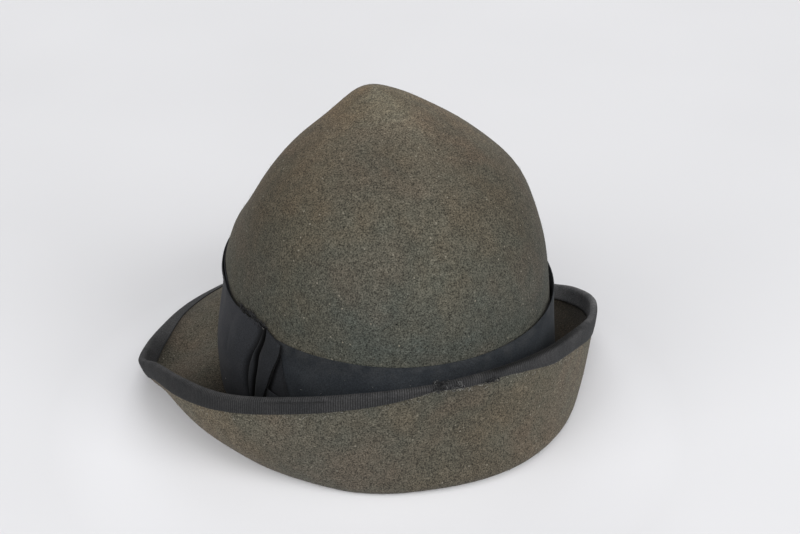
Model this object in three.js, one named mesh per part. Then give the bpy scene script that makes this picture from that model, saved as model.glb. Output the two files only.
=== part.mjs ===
// Alpine cap: one blocked felt body (crown and brim), a ribbon round the crown with a flat bow on the wearer's
// left, and a ribbon folded over the edge of the brim.
// Millimetres, +Z up. The wearer's front is towards -Y and the wearer's left towards +X.
// Every piece is laid out on spokes: upright half planes through the axis of the crown's tip. An azimuth of 0 is
// the back (+Y), 90 the wearer's left (+X) and 180 the front.

import * as THREE from "three";

const FELT = 2; // thickness of the felt
const RIBBON = 0.8; // thickness of every ribbon
const CLEAR = 0.3; // gap between neighbouring pieces
const SPOKES = 60; // spokes round the cap
const CROWN_ROWS = 12; // rows of faces from the tip down to the turn into the brim
const TURN_ROWS = 2; // round the turn from the crown into the brim
const BRIM_ROWS = 7; // from the turn to the binding, and BINDING_ROWS from there to the edge
const TURN = 4; // how far the rounded turn from crown to brim reaches along each of them
const BAND_ROWS = 4; // rows of faces down the hatband
const BAND_FOOT = 6; // height of the hatband's lower edge over the foot of the crown
const BAND_TOP = 64.5; // height of the hatband's upper edge beside the tip's axis
const BAND_SLOPE = 0.03; // how much that edge rises for each millimetre towards the front
const BINDING_WIDTH = 9; // how much of the brim the folded binding covers on each face
const BINDING_ROWS = 3; // rows of faces across the binding on each face of the brim
const FOLD_STEPS = 4; // faces round the binding's fold
const REST_HEIGHT = 0.8; // felt and ribbon lower than this are flattened against the ground
const FOLD_INSET = 0.3; // the fold's centre lies this far inside the felt's cut edge
const HALVINGS = 30; // steps of the search for a height in the crown's table

// Horizontal sections of the crown from the base up to the tip: an oval set back from the tip's axis by `centre`,
// with half-axes `side` and `length`, and dented by the share `pinch` at the left and right of the front.
const CROWN = [
  { z: 4, centre: 17, side: 89.5, length: 97.5, pinch: 0.02 },
  { z: 37, centre: 13, side: 87.2, length: 95, pinch: 0.02 },
  { z: 70, centre: 10.5, side: 84.4, length: 91.6, pinch: 0 },
  { z: 96, centre: 11.5, side: 79.2, length: 87.5, pinch: 0.06 },
  { z: 119, centre: 13.5, side: 70.8, length: 70.8, pinch: 0.16 },
  { z: 138, centre: 12, side: 51.7, length: 50.7, pinch: 0.12 },
  { z: 152, centre: 7.5, side: 30.3, length: 29, pinch: 0.07 },
  { z: 161, centre: 2, side: 12.5, length: 16, pinch: 0.05 },
  { z: 165, centre: 0, side: 0, length: 0, pinch: 0 },
];
const PINCH_AZIMUTH = 128; // of the middle of each dent, left and right
const PINCH_SPREAD = 30; // degrees from there to where the dent has faded to about a third

// The brim by azimuth. It leaves the crown at height `foot` with slope `root`, and ends at height `edge`, `reach`
// further out, with slope `lip` (degrees; 90 stands upright, below 0 points down).
const BRIM = [
  { azimuth: 0, foot: 3.9, root: -42.5, reach: 6.5, edge: 62, lip: 81 },
  { azimuth: 30, foot: 3.9, root: -41.5, reach: 14, edge: 58, lip: 95 },
  { azimuth: 60, foot: 5, root: -30, reach: 30.5, edge: 45.5, lip: 102 },
  { azimuth: 85, foot: 7.4, root: -12, reach: 39.5, edge: 33, lip: 98 },
  { azimuth: 105, foot: 9.4, root: 2, reach: 49.4, edge: 13, lip: 67 },
  { azimuth: 130, foot: 11, root: 3, reach: 49, edge: 3.8, lip: -16 },
  { azimuth: 155, foot: 12.2, root: 3, reach: 45.8, edge: 2.3, lip: -36 },
  { azimuth: 180, foot: 12.7, root: 3, reach: 45.5, edge: 2.5, lip: -40 },
  { azimuth: 205, foot: 12.2, root: 3, reach: 45.5, edge: 2.5, lip: -37 },
  { azimuth: 230, foot: 11, root: 2, reach: 45, edge: 3, lip: -12 },
  { azimuth: 252, foot: 9.6, root: 1, reach: 45, edge: 3.6, lip: 26 },
  { azimuth: 264, foot: 8.5, root: -6, reach: 42.2, edge: 12.4, lip: 62 },
  { azimuth: 275, foot: 7.4, root: -14, reach: 36, edge: 22, lip: 82 },
  { azimuth: 300, foot: 5, root: -31, reach: 20.4, edge: 41, lip: 88 },
  { azimuth: 330, foot: 4, root: -42, reach: 9, edge: 57.5, lip: 89 },
];
const ROOT_PULL = 0.45; // how far the brim keeps its slope at the crown, as a share of its chord
const LIP_PULL = 0.55; // and at its edge

// The bow's loop in plan, as the ribbon runs from the knot forwards, folds and comes back over itself; `lift` is
// measured from the middle of the crown's felt, `belly` is added to it halfway down, and `low` and `high` are the
// heights of the ribbon's edges.
const LOOP = [
  { azimuth: 64.1, lift: 2.9, belly: 0, low: 13, high: 66.5 },
  { azimuth: 76, lift: 2.9, belly: 0, low: 12, high: 68 },
  { azimuth: 90, lift: 2.9, belly: 0, low: 13.5, high: 70 },
  { azimuth: 106, lift: 2.9, belly: 0, low: 18, high: 75.5 },
  { azimuth: 119, lift: 2.9, belly: 0, low: 21, high: 76.5 },
  { azimuth: 121.5, lift: 3.45, belly: 0.4, low: 21, high: 76 },
  { azimuth: 119, lift: 4, belly: 0.8, low: 21, high: 76.5 },
  { azimuth: 106, lift: 4.1, belly: 1.4, low: 18, high: 75.5 },
  { azimuth: 90, lift: 4.2, belly: 2.2, low: 13.5, high: 70 },
  { azimuth: 76, lift: 4.5, belly: 1.9, low: 12, high: 68 },
  { azimuth: 64.1, lift: 4.4, belly: 0.8, low: 13, high: 66.5 },
];
const LOOP_ROWS = 4;
const LOOP_STEPS = 3; // faces from one row of the table to the next

// The knot's pleats in plan, from the back forwards.
const KNOT = [
  { azimuth: 52, lift: 4.8, low: 14, high: 64.5 },
  { azimuth: 53.5, lift: 6.4, low: 14, high: 65 },
  { azimuth: 56.5, lift: 6.8, low: 14, high: 65.5 },
  { azimuth: 59, lift: 6.2, low: 14, high: 66.5 },
  { azimuth: 60.1, lift: 4.4, low: 14, high: 67 },
  { azimuth: 61.3, lift: 6.4, low: 14, high: 67.5 },
  { azimuth: 62.6, lift: 4.6, low: 14, high: 68 },
  { azimuth: 63.8, lift: 5.8, low: 14, high: 68.5 },
];
const KNOT_ROWS = 4;

// The folded end that is tucked under the knot: a triangle of ribbon lying on the hatband.
const TAIL = [
  { azimuth: 43.5, lift: 3.4, low: 14, high: 17 },
  { azimuth: 47.5, lift: 3.8, low: 14, high: 38 },
  { azimuth: 51.7, lift: 4.2, low: 14, high: 58 },
];
const TAIL_ROWS = 3;

const FELT_COLOUR = 0x5d594d;
const BAND_COLOUR = 0x292b2e;
const BINDING_COLOUR = 0x3b3b3d;

const spokes = Array.from({ length: SPOKES }, (_, i) => (i * 360) / SPOKES);
const between = (first, last, rows) =>
  Array.from({ length: rows + 1 }, (_, i) => THREE.MathUtils.lerp(first, last, i / rows));

// A smooth curve through the points (xs, ys) that never passes beyond them. Its last slope can be given.
function through(xs, ys, lastSlope) {
  const last = xs.length - 1;
  const rise = (i) => (ys[i + 1] - ys[i]) / (xs[i + 1] - xs[i]);
  const slopes = xs.map((_, i) => {
    if (i === 0) return rise(0);
    if (i === last) return lastSlope ?? rise(last - 1);
    const [before, after] = [rise(i - 1), rise(i)];
    return before * after > 0 ? (2 * before * after) / (before + after) : 0;
  });
  return (x) => {
    let i = 0;
    while (i < last - 1 && x > xs[i + 1]) i += 1;
    const width = xs[i + 1] - xs[i];
    const t = (x - xs[i]) / width;
    const bend = width * (slopes[i] * (1 - t) - slopes[i + 1] * t) + (ys[i + 1] - ys[i]) * (2 * t - 1);
    return ys[i] * (1 - t) + ys[i + 1] * t + t * (1 - t) * bend;
  };
}

const numbered = (rows) => rows.map((row, step) => ({ ...row, step }));

// One curve for each named column of a table, over the column `key`.
function columns(rows, key, names) {
  const xs = rows.map((row) => row[key]);
  return Object.fromEntries(names.map((name) => [name, through(xs, rows.map((row) => row[name]))]));
}

// The brim's columns, as curves that join up with themselves round the cap.
function roundColumns(rows, names) {
  const turned = (shift) => rows.map((row) => ({ ...row, azimuth: row.azimuth + shift }));
  const curves = columns([...turned(-360), ...rows, ...turned(360)], "azimuth", names);
  return (azimuth) => Object.fromEntries(names.map((name) => [name, curves[name](azimuth)]));
}

const TIP = CROWN.length - 1;
const crownHeight = through([...CROWN.keys()], CROWN.map((row) => row.z), 0);
const crownOval = columns(numbered(CROWN), "step", ["centre", "side", "length", "pinch"]);
const brimAt = roundColumns(BRIM, ["foot", "root", "reach", "edge", "lip"]);

// The step of the crown's table, whole or part, at which it is `z` high.
function crownStep(z) {
  let [below, above] = [0, TIP];
  for (let i = 0; i < HALVINGS; i += 1) {
    const middle = (below + above) / 2;
    if (crownHeight(middle) < z) below = middle;
    else above = middle;
  }
  return below;
}

// How far the crown's felt (its middle) stands from the tip's axis.
function crownRadius(step, azimuth) {
  const [centre, side, length] = ["centre", "side", "length"].map((name) => crownOval[name](step));
  if (step >= TIP || side <= 0) return 0;
  const angle = THREE.MathUtils.degToRad(azimuth);
  const [across, along] = [Math.sin(angle) / side, Math.cos(angle) / length];
  const a = across ** 2 + along ** 2;
  const b = (along * centre) / length;
  const c = (centre / length) ** 2 - 1;
  const fromFront = Math.abs(THREE.MathUtils.euclideanModulo(azimuth + 180, 360) - 180) - PINCH_AZIMUTH;
  const dent = crownOval.pinch(step) * Math.exp(-((fromFront / PINCH_SPREAD) ** 2));
  return ((b + Math.sqrt(b * b - a * c)) / a) * (1 - dent);
}

// A point of the spoke's plane: x is the distance from the axis, y the height.
const crownPoint = (step, azimuth) => new THREE.Vector2(crownRadius(step, azimuth), crownHeight(step));

function brimCurve(azimuth) {
  const { foot, root, reach, edge, lip } = brimAt(azimuth);
  const start = crownPoint(crownStep(foot), azimuth);
  const end = new THREE.Vector2(start.x + reach, edge);
  const chord = start.distanceTo(end);
  const along = (slope, distance) =>
    new THREE.Vector2(distance, 0).rotateAround(new THREE.Vector2(), THREE.MathUtils.degToRad(slope));
  return new THREE.CubicBezierCurve(
    start,
    start.clone().add(along(root, ROOT_PULL * chord)),
    end.clone().sub(along(lip, LIP_PULL * chord)),
    end,
  );
}

// Shares of the brim's length at which its rows lie: from the end of the turn to where the binding starts, and on
// from there to the edge.
function brimShares(length) {
  const covered = 1 - BINDING_WIDTH / length;
  return [...between(TURN / length, covered, BRIM_ROWS), ...between(covered, 1, BINDING_ROWS).slice(1)];
}

// A point `lift` off the middle of the brim; the angle turns from its upper side (90) past the edge (0).
function offBrim(brim, share, lift, angle = 90) {
  const out = brim.getTangentAt(share).rotateAround(new THREE.Vector2(), THREE.MathUtils.degToRad(angle));
  return brim.getPointAt(share).addScaledVector(out, lift);
}

// The felt's face along one spoke, `lift` off its middle, from the tip to the edge of the brim.
function feltFace(azimuth, lift) {
  const brim = brimCurve(azimuth);
  const shares = brimShares(brim.getLength());
  const top = crownStep(brimAt(azimuth).foot + TURN);
  const crown = between(TIP, top, CROWN_ROWS).map((step) => crownPoint(step, azimuth));
  const turn = new THREE.QuadraticBezierCurve(crown[CROWN_ROWS], brim.getPoint(0), brim.getPointAt(shares[0]));
  const line = [...crown, ...turn.getPoints(TURN_ROWS).slice(1)];
  const out = normals(line);
  return [
    ...line.slice(0, -1).map((p, i) => p.addScaledVector(out[i], lift)),
    ...shares.map((share) => offBrim(brim, share, lift)),
  ];
}

// The unit normals of a line of points, on its left as it runs (up, for a line that runs outwards).
function normals(line) {
  return line.map((p, i) => {
    const before = line[Math.max(i - 1, 0)];
    const after = line[Math.min(i + 1, line.length - 1)];
    const along = after.clone().sub(before).normalize();
    return p.x === 0 ? new THREE.Vector2(0, 1) : new THREE.Vector2(-along.y, along.x);
  });
}

// A point of a spoke's plane in space, flat on the ground at height 0 where the cap's weight rests.
function place(azimuth, { x, y }) {
  const angle = THREE.MathUtils.degToRad(azimuth);
  return new THREE.Vector3(x * Math.sin(angle), x * Math.cos(angle), y < REST_HEIGHT ? 0 : y);
}

// The point that stands `lift` off the middle of the crown's felt at height `z`, square to its slope.
function onCrown(azimuth, z, lift) {
  const [below, above] = [z - 0.5, z + 0.5].map((height) => crownPoint(crownStep(height), azimuth));
  const out = new THREE.Vector2(above.y - below.y, below.x - above.x).normalize();
  return place(azimuth, below.add(above).multiplyScalar(0.5).addScaledVector(out, lift));
}

// A closed solid between two grids of points, `outer` and `inner`, each a list of lines. `round` joins the last
// line to the first. Faces that have shrunk to nothing, as at a pole, are left out. From row `back` on the sheet
// comes back over what it covers, so its faces are split along their other diagonal, as the faces below them are.
function sheet(outer, inner, round, back = Infinity) {
  const position = [];
  const known = new Map();
  const index = (p) => {
    const key = p.toArray().map((value) => value.toFixed(4)).join();
    if (!known.has(key)) {
      known.set(key, known.size);
      position.push(...p.toArray());
    }
    return known.get(key);
  };
  const faces = [];
  const triangle = (...corners) => {
    const ids = corners.map(index);
    if (new Set(ids).size === 3) faces.push(...ids);
  };
  const quad = (a, b, c, d) => {
    triangle(a, c, b);
    triangle(a, d, c);
  };
  const face = (j, a, b, c, d) => (j < back ? quad(a, b, c, d) : quad(b, c, d, a));
  const lines = outer.length;
  const rows = outer[0].length;
  for (let i = 0; i < (round ? lines : lines - 1); i += 1) {
    const next = (i + 1) % lines;
    for (let j = 0; j < rows - 1; j += 1) {
      face(j, outer[i][j], outer[i][j + 1], outer[next][j + 1], outer[next][j]);
      face(j, inner[i][j], inner[next][j], inner[next][j + 1], inner[i][j + 1]);
    }
    quad(outer[i][0], outer[next][0], inner[next][0], inner[i][0]);
    quad(outer[i][rows - 1], inner[i][rows - 1], inner[next][rows - 1], outer[next][rows - 1]);
  }
  for (let j = 0; !round && j < rows - 1; j += 1) {
    quad(outer[0][j], inner[0][j], inner[0][j + 1], outer[0][j + 1]);
    quad(outer[lines - 1][j], outer[lines - 1][j + 1], inner[lines - 1][j + 1], inner[lines - 1][j]);
  }
  const geometry = new THREE.BufferGeometry();
  geometry.setAttribute("position", new THREE.Float32BufferAttribute(position, 3));
  geometry.setIndex(faces);
  geometry.computeVertexNormals();
  return geometry;
}

function feltBody() {
  const side = (lift) =>
    spokes.map((azimuth) => feltFace(azimuth, lift).map((p) => place(azimuth, p)));
  return sheet(side(FELT / 2), side(-FELT / 2), true);
}

function hatband() {
  const side = (lift) =>
    spokes.map((azimuth) => {
      const behind = crownRadius(crownStep(BAND_TOP), azimuth) * Math.cos(THREE.MathUtils.degToRad(azimuth));
      const low = brimAt(azimuth).foot + BAND_FOOT;
      return between(BAND_TOP - BAND_SLOPE * behind, low, BAND_ROWS).map((z) => onCrown(azimuth, z, lift));
    });
  const lift = FELT / 2 + CLEAR;
  return sheet(side(lift + RIBBON), side(lift), true);
}

function brimBinding() {
  const lift = FELT / 2 + CLEAR;
  const side = (distance) =>
    spokes.map((azimuth) => {
      const brim = brimCurve(azimuth);
      const length = brim.getLength();
      const shares = brimShares(length).slice(-BINDING_ROWS - 1, -1);
      const face = (angle) => shares.map((share) => offBrim(brim, share, distance, angle));
      const centre = 1 - FOLD_INSET / length;
      const fold = between(90, -90, FOLD_STEPS).map((angle) => offBrim(brim, centre, distance, angle));
      return [...face(90), ...fold, ...face(-90).reverse()].map((p) => place(azimuth, p));
    });
  return sheet(side(lift + RIBBON), side(lift), true, BINDING_ROWS + FOLD_STEPS / 2);
}

// The loop's ribbon follows its table smoothly, square to its run.
function bowLoop() {
  const radius = crownRadius(crownStep(BAND_TOP), 90);
  const run = columns(numbered(LOOP), "step", ["azimuth", "lift", "belly", "low", "high"]);
  const steps = between(0, LOOP.length - 1, LOOP_STEPS * (LOOP.length - 1));
  const flat = steps.map((step) => {
    const along = THREE.MathUtils.degToRad(run.azimuth(step)) * radius;
    return new THREE.Vector2(along, run.lift(step));
  });
  const across = normals(flat);
  const side = (distance) =>
    steps.map((step, i) => {
      const p = flat[i].clone().addScaledVector(across[i], distance);
      const azimuth = THREE.MathUtils.radToDeg(p.x / radius);
      return between(0, 1, LOOP_ROWS).map((share) => {
        const z = THREE.MathUtils.lerp(run.high(step), run.low(step), share);
        return onCrown(azimuth, z, p.y + run.belly(step) * Math.sin(Math.PI * share));
      });
    });
  return sheet(side(RIBBON / 2), side(-RIBBON / 2), false);
}

// A wrapped or folded piece of the bow that fills the space from the hatband out to its table's `lift`.
function bowPiece(table, rows) {
  const seat = FELT / 2 + CLEAR + RIBBON + CLEAR;
  const side = (lift) =>
    table.map((row) => between(row.high, row.low, rows).map((z) => onCrown(row.azimuth, z, lift(row))));
  return sheet(side((row) => row.lift), side(() => seat), false);
}

function mesh(name, geometry, color, roughness) {
  const made = new THREE.Mesh(geometry, new THREE.MeshStandardMaterial({ color, roughness, metalness: 0 }));
  made.name = name;
  return made;
}

const pieces = new THREE.Group();
pieces.add(
  mesh("felt_body", feltBody(), FELT_COLOUR, 1),
  mesh("hatband", hatband(), BAND_COLOUR, 0.8),
  mesh("brim_binding", brimBinding(), BINDING_COLOUR, 0.85),
  mesh("bow_loop", bowLoop(), BAND_COLOUR, 0.75),
  mesh("bow_knot", bowPiece(KNOT, KNOT_ROWS), BAND_COLOUR, 0.75),
  mesh("bow_tail", bowPiece(TAIL, TAIL_ROWS), BAND_COLOUR, 0.75),
);

// The cap's origin is the middle of its box, on the ground.
const middle = new THREE.Box3().setFromObject(pieces).getCenter(new THREE.Vector3());
pieces.position.set(-middle.x, -middle.y, 0);

const cap = new THREE.Group();
cap.add(pieces);
export default cap;
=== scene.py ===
"""Looks of the alpine cap: felt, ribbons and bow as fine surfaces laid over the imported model.

Lengths are in millimetres until a mesh is made, and angles in degrees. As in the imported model, all is laid
out on spokes: upright half planes through the axis of the crown's tip. An azimuth of 0 is the back (+Y), 90
the wearer's left (+X). `lift` is the distance off the middle of the felt.
"""

import math

import bpy
import numpy as np
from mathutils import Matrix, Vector


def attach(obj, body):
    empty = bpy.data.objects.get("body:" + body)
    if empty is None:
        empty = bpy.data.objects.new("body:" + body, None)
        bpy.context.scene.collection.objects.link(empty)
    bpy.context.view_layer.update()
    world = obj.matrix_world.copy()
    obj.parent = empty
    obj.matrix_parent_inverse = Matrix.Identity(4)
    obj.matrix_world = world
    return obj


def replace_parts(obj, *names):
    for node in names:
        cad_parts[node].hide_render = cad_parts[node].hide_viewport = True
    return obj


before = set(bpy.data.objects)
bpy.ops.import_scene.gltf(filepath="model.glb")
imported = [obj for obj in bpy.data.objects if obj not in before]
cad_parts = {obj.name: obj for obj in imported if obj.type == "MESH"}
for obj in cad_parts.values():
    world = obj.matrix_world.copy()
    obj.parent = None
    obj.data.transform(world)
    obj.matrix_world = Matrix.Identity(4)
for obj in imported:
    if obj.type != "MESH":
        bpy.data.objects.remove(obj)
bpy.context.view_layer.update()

MM = 0.001
SEED = 7

FELT = 2.0  # thickness of the felt
CLEAR = 0.3  # gap between felt and ribbon
ON_FELT = FELT / 2 + CLEAR  # lift of the underside of a ribbon that lies on the felt
RIBBON = 0.45  # thickness of the hatband's and the bow's ribbon
BINDING = 0.8  # thickness of the folded binding with the stitching under it
CLOSE = 0.1  # gap between two layers of ribbon
ON_BAND = ON_FELT + RIBBON + CLOSE

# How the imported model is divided, and how much finer it is here.
CAD_SPOKES = 60
CAD_CROWN_ROWS = 12
FINE = 4
WRAP = 8  # spokes repeated at either end, so that a curve round the cap joins up
FELT_COLUMNS = 288
EDGE_BULGE = 0.5  # how far the felt's cut edge is rounded out
ON_AXIS = 0.01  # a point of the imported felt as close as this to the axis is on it
WALL_TOP = 2  # the crown's wall is read up to this far below the tip
SLOPE_REACH = 3  # up and down from a point of it to where its slope is taken
GRID_END = 1.001  # a grid is read up to this far short of its size

# Slow waves in the felt: direction, length and start of each, and how high they stand together.
UNEVEN = [
    ((0.8, 0.5, 0.3), 71, 0.4), ((-0.4, 0.9, 0.2), 58, 2.1), ((0.2, -0.3, 0.9), 83, 4.0),
    ((0.6, -0.7, -0.4), 47, 5.2),
]
UNEVEN_HEIGHT = 0.5
# Where the crown swells or sinks a little: azimuth and height of the middle, rise, spread round and up.
SWELLINGS = [
    (100, 77, 1.4, 18, 8), (110, 90, 0.9, 20, 8), (112, 120, -1.2, 40, 13), (292, 106, -0.8, 40, 14),
    (180, 151, 2.4, 22, 6.5),
]
# Where the brim is pushed in a little on the left, likewise.
BRIM_DENTS = [
    (83, 15, 1.5, 24, 10), (59, 8, 0.9, 22, 8),
]
BRIM_FADE = (4, 20)  # rows past the crown between which these dents get deep
TIP_LEAN = (1.9, -0.8, 0.6)  # how far the very tip is pulled over
LEAN_FROM = 148  # it leans from this height on, as the cube of the height above it

RIB_STEPS = 4  # columns for each rib of a ribbon
RIB_SIZES = (0.7, 1.15)  # the least and the most of its height that a rib has
# The binding: azimuth, its width on the brim's upper and lower side, and how far inside the felt's edge
# its fold has its centre. It is worn narrow at the back.
BINDING_SHAPE = [
    (1, 9, 3.2, 0.4), (5, 9, 2.4, 0.6), (9, 9, 1.4, 0.9), (12, 9, 2.4, 0.6), (18, 9, 4.2, 0.4),
    (26, 9, 5.8, 0.5), (35, 9, 7.4, 1.4), (46, 9, 7.7, 1.4), (58, 9, 7.6, 0.7), (72, 9, 8.9, 0.3),
    (92, 10, 9, 0.3), (102, 9.8, 9, 0.3), (108, 8.8, 9, 0.3), (114, 7.2, 9, 0.1), (130, 6, 9, -0.3),
    (165, 7.5, 9, 0), (200, 9, 9, 0.3), (310, 9, 10, 0.3), (324, 9, 9, 0.3), (335, 9, 7.6, -0.6),
    (343, 9, 4.4, -0.9), (349, 9, 2.6, -0.7), (353, 9, 2.2, -0.4), (357, 9, 3.0, 0),
]
WEAR_AND_HIGHLIGHT_ROWS = 4  # it is worn along its fold, and painted paler there as a highlight, over this many rows
BINDING_THIN = 0.6  # the part of its lift that it loses towards its edges
BINDING_ROWS = 6
BINDING_RIB = (1.15, 0.19)  # pitch and height
FOLD_ROWS = 6
RIM_ROWS = 2 * BINDING_ROWS + FOLD_ROWS  # of faces across the whole binding
FOLD_MIDDLE = RIM_ROWS / 2
BAND_ROWS = 14
BAND_WORN_ROWS = 1.5  # it is rubbed along both edges
BAND_RIB = (0.95, 0.015)
BAND_FLARE = 2.0  # how far its top edge stands off the felt
FLARE_AZIMUTH = 298
FLARE_SPREAD = 40
RIB_SHADE = (0.8, 0.15)  # of binding and band: how dark the painted shade in their grooves is

# The bow's loop: azimuths, and the heights of the ribbon's upper and lower edge there.
LOOP_EDGES = [
    (58, 66, 14), (66, 67.5, 12.5), (71, 67.5, 12), (77, 67.5, 11.5), (86, 68.5, 12), (97, 73, 15.5),
    (108, 76, 19), (121, 76.5, 21),
]
LOOP_FOLD = 120  # azimuth at which the ribbon turns back
# Lift of the outer layer at each of these heights (columns) and azimuths (rows).
LOOP_HEIGHTS = (76, 70, 66, 60, 52, 44, 36, 26, 12)
LOOP_LIFT = [
    (58, 3.0, 3.0, 2.9, 2.8, 2.8, 2.8, 2.8, 2.8, 2.8),
    (67, 3.4, 3.3, 3.3, 3.4, 3.8, 4.2, 4.4, 4.5, 4.2),
    (71, 3.6, 3.5, 3.5, 3.6, 4.4, 5.1, 5.5, 5.6, 5.2),
    (77, 3.5, 3.4, 3.4, 3.6, 4.6, 5.6, 6.2, 6.5, 5.9),
    (86, 2.8, 2.8, 3.0, 3.3, 4.3, 5.5, 6.4, 6.8, 6.0),
    (97, 2.3, 3.0, 2.6, 2.7, 4.1, 5.3, 6.3, 7.0, 5.8),
    (108, 2.3, 2.8, 2.8, 3.0, 3.7, 4.3, 5.0, 5.4, 4.8),
    (121, 2.2, 2.4, 2.7, 2.9, 3.1, 3.3, 3.6, 3.7, 3.4),
]
TABLE_STEP = 0.5  # degrees or millimetres between a filled-in table's values
LOOP_STEPS = 64  # columns from the knot to the fold
LOOP_TURN = 6  # columns round the fold
LOOP_ROWS = 36
LOOP_PINCH = 1.6  # degrees over which it rises out of the crease beside the knot
LOOP_SPACING = 1.6  # above 1, its columns are closer together by the knot
LOOP_BLEND = 8  # degrees over which its inner layer comes up to the outer one's edge
LOOP_RAGGED = (76, 0.5)  # its upper edge is torn up to this azimuth, and by how much
LOOP_INNER = (92, 3.5)  # up to this azimuth, how far the inner layer stays below that
BAND_END = 67  # above this the loop's under side has no hatband beneath it
# Soft folds in it: a line of points (azimuth, height), its rise and its width.
LOOP_FOLDS = [
    ([(73.8, 68), (77.5, 59), (79.2, 52), (79.5, 41)], -0.45, 1.5),
    ([(71, 66), (73, 56), (73.5, 47)], 0.3, 3.0),
    ([(86, 66), (88, 52), (88, 40)], 0.3, 4.0),
    ([(69, 34), (76, 26), (84, 22)], -0.3, 3.0),
]

# Height, and the azimuths of the knot's three creases: at its open edge, in it and by the loop.
CREASES = [
    (14, 58.8, 61.5, 62.5), (25, 58.4, 62.5, 64.5), (32, 57.4, 62.5, 65.7), (38, 56.2, 62.2, 65.8),
    (45, 54.9, 61.6, 65.0), (52, 53.3, 61.1, 63.0), (60, 52.0, 59.3, 60.7), (66, 52.3, 58.9, 59.6),
]
CREASE_LIFT = 2.2
# How many degrees below and above its azimuth each crease has its shade.
CREASE_SHADE = [(1.3, 0.1), (0.3, 1.1), (0.3, 2.4)]
FOLDED_SHADE = (0.35, 6)  # how dark the painted shade along the folded end's upper edge is, and over how many rows
# Across the knot from its open edge to the loop: place between the creases (0 to 2) and lift.
KNOT = [
    (0.05, 2.3), (-0.02, 3.5), (-0.03, 4.9), (0.07, 5.8), (0.25, 6.1), (0.48, 6.2), (0.68, 5.9),
    (0.83, 5.0), (0.93, 3.7), (1.0, 2.0), (1.1, 4.2), (1.25, 5.2), (1.5, 5.6), (1.75, 5.2), (1.9, 4.1),
    (2.0, 2.2),
]
KNOT_TOP = (62, 66.4, 66.8)  # height of its top at each crease
KNOT_FOOT = 14
# How much of its lift is left at the top, how far down it has all of it, and the power it comes up by.
KNOT_PRESSED = (0.3, 15, 0.7)
KNOT_STEPS = 4
KNOT_ROWS = 44

# The folded end under the knot: azimuth, lift and heights of its edges, from its free edge on; its tip.
TAIL = [
    (44.0, 2.35, 17, 14), (48.9, 2.4, 38, 14), (51.2, 2.45, 49, 14), (52.5, 2.45, 58, 14),
    (55.0, 2.4, 61, 14), (58.5, 2.4, 62, 14),
]
TAIL_STEPS = 6
TAIL_ROWS = 20
TAIL_TIP = [
    (52.4, 3.4, 33.6, 32.4), (54.6, 4.9, 35.2, 30), (56.4, 4.6, 36.2, 27), (58.0, 2.9, 37, 24),
]

FIBRES = 7200
FIBRE_LENGTH = (0.8, 3.2)
FIBRE_RADIUS = 0.035
FIBRE_CURL = 0.35
FIBRE_SCATTER = 0.8  # how far they are off the felt's grid of points
FIBRE_ROWS = (8, 2)  # rows left free: below the brim by the crown, and by the binding
# Fluff on the felt under the binding's edge: azimuths, how far from the edge, and count.
LINT_BELOW = [(-40, 75, 4, 90), (-14, 13, 1.5, 110)]
# Fluff on the ribbons: azimuths, heights, lift and count.
LINT_ON_RIBBON = [
    ((-60, 48), (14, 62), 1.8, 50), ((68.7, 69.7), (48.5, 49.5), 4.2, 3),
    ((79.5, 80.5), (21, 22), 6.9, 3), ((59.6, 60.6), (65.5, 66.5), 3.0, 3),
]
LINT_LENGTH = (0.4, 1.3)
LINT_RADIUS = 0.1
# Black threads along the loop's torn edge, massed into a dark line that also stands as painted shadow in the
# gap between that edge and the felt: from one azimuth and height to another, lift and count.
TORN_AND_SHADOW_LINE = [
    ((76, 68.2), (59, 67.2), 1.7, 170), ((75, 67.7), (62, 67.1), 3.4, 26),
    ((69, 69), (65, 68.8), 1.7, 50),
]
TORN_LENGTH = (0.6, 2.2)
THREAD_RADIUS = 0.2
LOOSE_CURL = 0.9  # of fluff and torn threads
HAIR_RISE = (0.05, 0.3)  # how far fibres rise off the surface, as a share of their length
HAIR_ARCH = 1.3  # at 1 they would end on the surface
HAIR_SIZES = (0.6, 1.2)  # the least and the most of its radius
HAIR_TAPER = 0.6  # how much of it is gone at the end
# Frayed places on the binding: azimuth, rows past the fold, spread of both, and count.
BLACK_FRAYS = [(7.9, 0.5, 0.9, 1.5, 34), (-4.6, 7, 0.9, 0.8, 16)]
GREY_FRAYS = [(8.3, 1.5, 0.9, 1.5, 8), (3.5, 3, 1.4, 1.5, 8)]
CURL_STEPS = 14
CURL_SIZE = (0.35, 1.1)
CURL_TURNS = (0.5, 1.6)
CURL_LEAN = (0.2, 0.9)  # from 0, lying, to 1, upright
CURL_DRIFT = 1.2  # how far they run on sideways, in their own size
TUBE_STEPS = 5
TUBE_SIDES = 3

# The camera: the point it is aimed at, from the foot of the tip's axis, the direction from there to it
# (azimuth and elevation), its distance, and how far it is moved right and up.
AIM = (0, 20, 60)
CAMERA_DIRECTION = (22.1, 29.05)
CAMERA_DISTANCE = 718
CAMERA_SHIFT = (3.51, 9.63)
LENS = 60
SENSOR = 36

AMBIENT = 0.34
# Area lights: the direction to each (azimuth and elevation) and its power.
LIGHTS = [
    ("camera_side", (22, 24), 42), ("left", (75, 29), 34), ("right", (330, 29), 57),
    ("top", (22, 80), 11), ("back", (202, 50), 12),
]
LIGHT_DISTANCE = 3.0  # metres
LIGHT_SIZE = 2.0
LIGHT_AIM = (0, 0, 0.07)
# A light on the floor behind the cap: its place, what it points at, and its power.
BACKDROP = ((-1.0, -2.6, 1.6), (-0.9, -2.4, 0), 36)
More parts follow.
